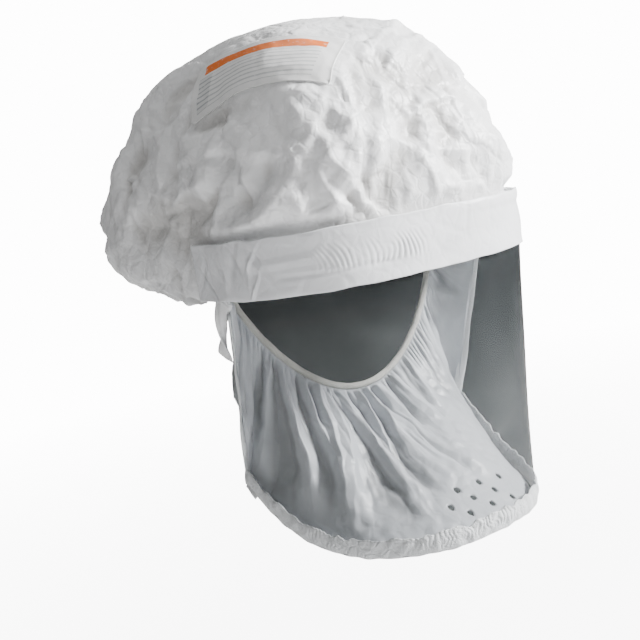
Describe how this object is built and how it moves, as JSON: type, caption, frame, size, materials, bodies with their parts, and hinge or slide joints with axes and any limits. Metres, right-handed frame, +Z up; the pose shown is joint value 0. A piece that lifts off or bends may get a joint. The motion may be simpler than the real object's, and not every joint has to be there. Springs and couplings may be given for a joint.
{
  "type": "smoke hood",
  "caption": "Loose supplied-air hood: bulging fabric crown, stiff brow band, wrap-round clear visor, gathered face seal, ratchet head harness and a rear swivelling tube inlet.",
  "frame": {"origin": "on the upright axis of the wearer's head, level with the brow band's lower edge", "axes": "+Z up, the face looks along -Y, +X is the wearer's left"},
  "size_m": [0.231, 0.3536, 0.337],
  "materials": {
    "white_fabric": "matt crumpled spunbonded fabric",
    "band_fabric": "smooth coated fabric",
    "hem_fabric": "gathered binding tape",
    "seal_fabric": "thin gathered coated fabric",
    "elastic": "knitted elastic",
    "clear_film": "clear flexible film",
    "label": "blank write-on patch",
    "harness_plastic": "moulded plastic strip",
    "strap_web": "woven webbing",
    "foam": "covered foam",
    "ratchet_plastic": "moulded plastic",
    "knob_plastic": "soft-touch grip",
    "steel": "plated steel",
    "inlet_plastic": "moulded plastic",
    "rubber": "moulded seal",
    "button_plastic": "moulded button",
    "duct_film": "flexible duct film"
  },
  "bodies": {
    "root": {"crown_cover": "white_fabric", "side_tie_left": "white_fabric", "side_tie_right": "white_fabric", "brow_band": "band_fabric", "visor_hem": "hem_fabric", "face_seal": "seal_fabric", "face_seal_elastic": "elastic", "rim_elastic": "elastic", "visor": "clear_film", "label_patch": "label", "front_headband": "harness_plastic", "side_strap_left": "harness_plastic", "side_strap_right": "harness_plastic", "crown_pad": "harness_plastic", "side_tab_left": "harness_plastic", "side_tab_right": "harness_plastic", "front_tab": "harness_plastic", "crown_strap_side": "strap_web", "crown_strap_long": "strap_web", "brow_pad": "foam", "nape_pad": "foam", "ratchet_housing": "ratchet_plastic", "ratchet_cover": "ratchet_plastic", "harness_rivets": "steel", "ratchet_screws": "steel", "click_spring": "steel", "inlet_flange": "inlet_plastic", "inlet_nut": "inlet_plastic", "inlet_gasket": "rubber", "air_duct": "duct_film", "duct_elbow": "duct_film", "duct_outlet": "duct_film"},
    "knob": {"knob": "knob_plastic", "pinion_gear": "ratchet_plastic"},
    "rack_right": {"rack_right": "ratchet_plastic"},
    "rack_left": {"rack_left": "ratchet_plastic"},
    "inlet_swivel": {"tube_socket": "inlet_plastic", "socket_ring": "rubber", "socket_clip": "steel", "latch_spring_left": "steel", "latch_spring_right": "steel"},
    "latch_button_left": {"latch_button_left": "button_plastic"},
    "latch_button_right": {"latch_button_right": "button_plastic"}
  },
  "joints": [
    {"name": "knob_turn", "type": "hinge", "parent": "root", "child": "knob", "pos_m": [0, 0.1133, 0.03], "axis": [0, 1, 0], "range_deg": [0, 115]},
    {"name": "rack_right_slide", "type": "slide", "parent": "root", "child": "rack_right", "axis": [1, 0, 0], "range_m": [0, 0.0125], "deforming": ["side_strap_right"]},
    {"name": "rack_left_slide", "type": "slide", "parent": "root", "child": "rack_left", "axis": [-1, 0, 0], "range_m": [0, 0.0125], "deforming": ["side_strap_left"]},
    {"name": "inlet_turn", "type": "hinge", "parent": "root", "child": "inlet_swivel", "pos_m": [0, 0.2005, 0.0343], "axis": [0, 0.766, -0.6428], "continuous": true},
    {"name": "latch_left_press", "type": "slide", "parent": "inlet_swivel", "child": "latch_button_left", "axis": [-1, 0, 0], "range_m": [0, 0.0025], "stiffness_N_per_m": 500, "springref_m": -0.001},
    {"name": "latch_right_press", "type": "slide", "parent": "inlet_swivel", "child": "latch_button_right", "axis": [1, 0, 0], "range_m": [0, 0.0025], "stiffness_N_per_m": 500, "springref_m": -0.001}
  ],
  "couplings": [
    {"joint": "rack_right_slide", "follows": "knob_turn", "m_per_rad": 0.006},
    {"joint": "rack_left_slide", "follows": "knob_turn", "m_per_rad": 0.006}
  ]
}
